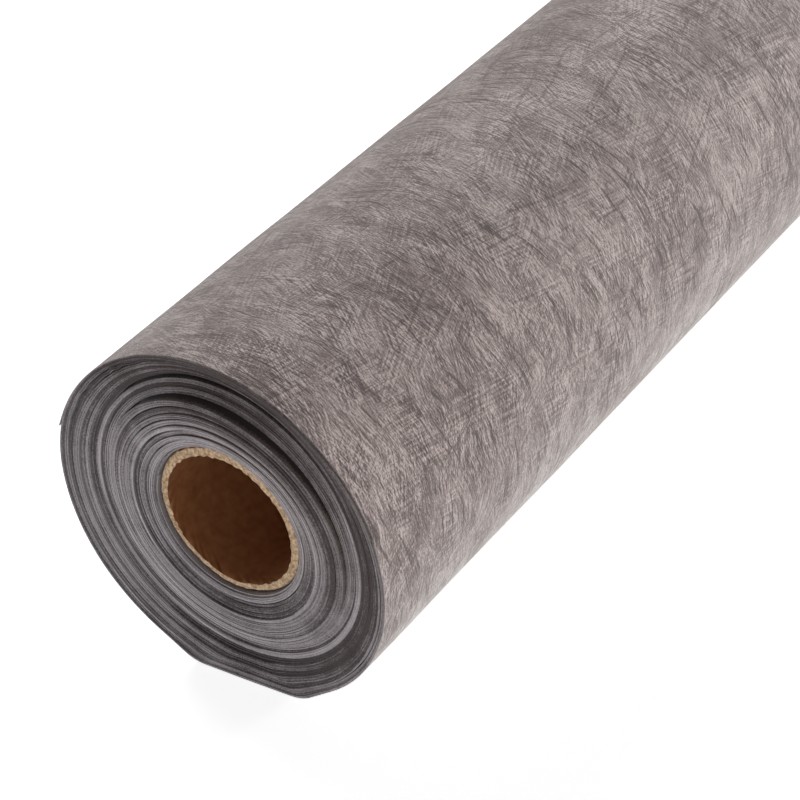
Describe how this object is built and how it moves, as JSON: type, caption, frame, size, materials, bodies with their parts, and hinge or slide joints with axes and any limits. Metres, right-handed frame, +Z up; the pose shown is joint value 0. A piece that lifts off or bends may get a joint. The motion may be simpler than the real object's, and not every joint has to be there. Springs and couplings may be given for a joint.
{
  "type": "roll of house wrap",
  "caption": "Roll of grey breather membrane wound on a cardboard tube, lying on its slumped side with its outer turns slid out at one end.",
  "frame": {"origin": "on the floor under the middle of the roll", "axes": "+X along the roll, away from the end that its outer turns have slid out of; +Z up from the floor"},
  "size_m": [1.5106, 0.1994, 0.1968],
  "materials": {
    "membrane": "grey spunbond nonwoven, matt, faintly sheened",
    "tube_board": "kraft paper board, spirally wound, matt"
  },
  "bodies": {
    "root": {"wound_membrane": "membrane", "core_tube": "tube_board"}
  },
  "joints": []
}
